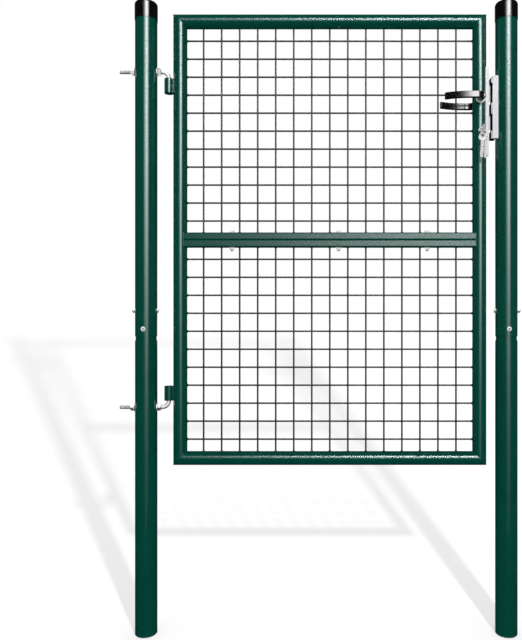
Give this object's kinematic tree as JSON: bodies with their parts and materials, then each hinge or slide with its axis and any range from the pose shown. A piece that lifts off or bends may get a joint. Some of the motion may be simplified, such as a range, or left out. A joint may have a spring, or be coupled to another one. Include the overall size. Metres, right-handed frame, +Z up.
{
  "type": "swing gate",
  "caption": "Garden swing gate with round posts, a tubular leaf of welded mesh, hook hinges and a lever lock with keys.",
  "frame": {"origin": "centre of the bottom face of the hinge post's foot", "axes": "+X from the hinge post to the latch post, +Y away from the side with the key, +Z up"},
  "size_m": [1.112, 0.114, 1.75],
  "materials": {
    "green_paint": "gloss",
    "green_wire": "gloss",
    "green_plastic": "satin",
    "black_plastic": "gloss",
    "black_lever": "satin",
    "zinc_steel": "satin",
    "lock_steel": "satin",
    "nickel": "satin",
    "key_steel": "polished"
  },
  "bodies": {
    "posts": {"post_feet": "green_plastic", "left_post_lower": "green_paint", "left_post_upper": "green_paint", "right_post_lower": "green_paint", "right_post_upper": "green_paint", "post_caps": "black_plastic", "joint_screws": "zinc_steel", "joint_bolts": "zinc_steel", "joint_nuts": "zinc_steel", "upper_hinge_hook": "zinc_steel", "lower_hinge_hook": "zinc_steel", "hinge_nuts": "zinc_steel", "hinge_washers": "zinc_steel", "keep_channel": "lock_steel", "keep_insert": "black_plastic", "keep_screws": "zinc_steel"},
    "leaf": {"top_rail": "green_paint", "upper_left_stile": "green_paint", "upper_right_stile": "green_paint", "upper_middle_bar": "green_paint", "bottom_rail": "green_paint", "lower_left_stile": "green_paint", "lower_right_stile": "green_paint", "lower_middle_bar": "green_paint", "upper_mesh": "green_wire", "lower_mesh": "green_wire", "middle_bolts": "zinc_steel", "middle_nuts": "zinc_steel", "middle_washers": "zinc_steel", "upper_hinge_barrel": "green_paint", "lower_hinge_barrel": "green_paint", "lock_case": "lock_steel", "lock_faceplate": "lock_steel", "faceplate_screws": "zinc_steel", "lock_cylinder": "nickel", "rosettes": "lock_steel"},
    "handle": {"front_lever": "black_lever", "rear_lever": "black_lever", "spindle": "lock_steel"},
    "latch": {"latch_bolt": "lock_steel"},
    "deadbolt": {"dead_bolt": "lock_steel"},
    "lock_key": {"lock_plug": "nickel", "key": "key_steel"},
    "key_bunch": {"key_ring": "key_steel", "spare_keys": "key_steel"}
  },
  "joints": [
    {"name": "leaf_swing", "type": "hinge", "parent": "posts", "child": "leaf", "pos_m": [0.0632, 0, 0.6468], "axis": [0, 0, -1], "range_deg": [0, 100]},
    {"name": "handle_turn", "type": "hinge", "parent": "leaf", "child": "handle", "pos_m": [0.9248, 0, 1.479], "axis": [0, -1, 0], "range_deg": [0, 35], "stiffness_Nm_per_rad": 1, "springref_deg": -20.05},
    {"name": "latch_slide", "type": "slide", "parent": "leaf", "child": "latch", "axis": [-1, 0, 0], "range_m": [0, 0.006]},
    {"name": "key_turn", "type": "hinge", "parent": "leaf", "child": "lock_key", "pos_m": [0.9248, -0.03, 1.39], "axis": [0, -1, 0], "range_deg": [0, 90]},
    {"name": "deadbolt_slide", "type": "slide", "parent": "leaf", "child": "deadbolt", "axis": [1, 0, 0], "range_m": [0, 0.01]},
    {"name": "bunch_swing", "type": "hinge", "parent": "lock_key", "child": "key_bunch", "pos_m": [0.9248, -0.0485, 1.3874], "axis": [0, -1, 0], "range_deg": [-30, 30]}
  ],
  "couplings": [
    {"joint": "latch_slide", "follows": "handle_turn", "m_per_rad": 0.0098},
    {"joint": "key_turn", "follows": "deadbolt_slide", "rad_per_m": 157}
  ]
}
